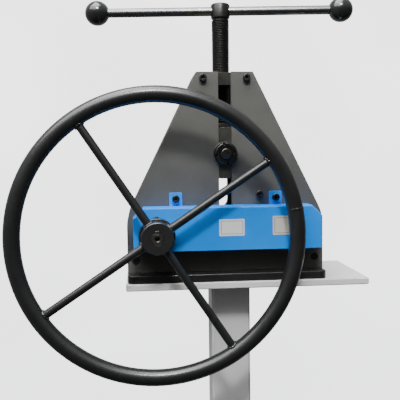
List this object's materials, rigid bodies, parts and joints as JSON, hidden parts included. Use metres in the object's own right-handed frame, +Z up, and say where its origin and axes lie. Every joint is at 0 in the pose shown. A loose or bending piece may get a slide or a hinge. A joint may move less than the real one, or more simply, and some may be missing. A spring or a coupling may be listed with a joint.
{
  "type": "manual ring roller",
  "caption": "Hand-driven three-roller bender for tube and bar, with a large handwheel, a screw-set upper roller and a guarded chain drive.",
  "frame": {"origin": "centre of the base plate's underside", "axes": "+Z up, X along the frame with the handwheel's shaft at -X, the handwheel and chain guard at -Y and the forming rollers at +Y"},
  "size_m": [0.6125, 0.277, 0.6664],
  "materials": {
    "plate_paint": "satin powder coat, dark grey",
    "base_paint": "satin black powder coat",
    "wheel_paint": "satin black enamel",
    "guard_paint": "semi-gloss blue powder coat",
    "black_oxide": "oiled black oxide steel",
    "bright_steel": "ground bright steel",
    "roller_steel": "turned and hardened steel",
    "bronze": "turned bronze",
    "chain_steel": "oiled chain steel",
    "knob_plastic": "glossy black phenolic"
  },
  "bodies": {
    "frame": {"base_plate": "base_paint", "base_screws": "black_oxide", "front_plate": "plate_paint", "rear_plate": "plate_paint", "corner_spacers": "black_oxide", "corner_screws": "black_oxide", "tie_spacer": "black_oxide", "tie_bolt": "black_oxide", "tie_nut": "black_oxide", "nut_block": "black_oxide", "lead_nut": "bronze", "nut_block_screws": "black_oxide", "chain_guard": "guard_paint", "chain_guard_screws": "black_oxide", "bush_front_left": "bronze", "bush_front_right": "bronze", "bush_rear_left": "bronze", "bush_rear_right": "bronze", "chain_inner_links": "chain_steel", "chain_outer_links": "chain_steel"},
    "drive": {"drive_shaft": "bright_steel", "drive_sprocket": "black_oxide", "drive_sprocket_pin": "bright_steel", "handwheel_rim": "wheel_paint", "handwheel_spokes": "wheel_paint", "handwheel_hub": "wheel_paint", "handwheel_key": "bright_steel", "handwheel_set_screw": "black_oxide", "left_roller": "roller_steel", "left_roller_key": "bright_steel", "left_roller_spacer": "black_oxide", "left_roller_washer": "bright_steel", "left_roller_nut": "black_oxide"},
    "driven": {"driven_shaft": "bright_steel", "driven_sprocket": "black_oxide", "driven_sprocket_pin": "bright_steel", "right_roller": "roller_steel", "right_roller_key": "bright_steel", "right_roller_spacer": "black_oxide", "right_roller_washer": "bright_steel", "right_roller_nut": "black_oxide"},
    "slider": {"slider_block": "black_oxide", "slider_bushes": "bronze", "screw_keeper": "black_oxide", "keeper_screws": "black_oxide"},
    "upper": {"upper_shaft": "bright_steel", "upper_front_washer": "black_oxide", "upper_front_nut": "black_oxide", "upper_roller": "roller_steel", "upper_roller_key": "bright_steel", "upper_roller_spacer": "black_oxide", "upper_roller_washer": "bright_steel", "upper_roller_nut": "black_oxide"},
    "screw": {"lead_screw": "black_oxide"},
    "bar": {"tommy_bar": "bright_steel", "ball_knobs": "knob_plastic"}
  },
  "joints": [
    {"name": "handwheel_turn", "type": "hinge", "parent": "frame", "child": "drive", "pos_m": [-0.12382, 0, 0.0845], "axis": [0, 1, 0], "continuous": true, "deforming": ["chain_inner_links", "chain_outer_links"]},
    {"name": "right_roller_turn", "type": "hinge", "parent": "frame", "child": "driven", "pos_m": [0.12382, 0, 0.0845], "axis": [0, 1, 0], "continuous": true},
    {"name": "slider_travel", "type": "slide", "parent": "frame", "child": "slider", "axis": [0, 0, 1], "range_m": [-0.045, 0.06]},
    {"name": "upper_roller_turn", "type": "hinge", "parent": "slider", "child": "upper", "pos_m": [0, 0, 0.222], "axis": [0, 1, 0], "continuous": true},
    {"name": "screw_turn", "type": "hinge", "parent": "slider", "child": "screw", "pos_m": [0, 0, 0.4], "axis": [0, 0, 1], "range_deg": [-5400, 7200]},
    {"name": "bar_slide", "type": "slide", "parent": "screw", "child": "bar", "axis": [0.995, -0.1002, 0], "range_m": [-0.179, 0.179]}
  ],
  "couplings": [
    {"joint": "right_roller_turn", "follows": "handwheel_turn", "ratio": 1},
    {"joint": "slider_travel", "follows": "screw_turn", "m_per_rad": 0.00047746}
  ]
}
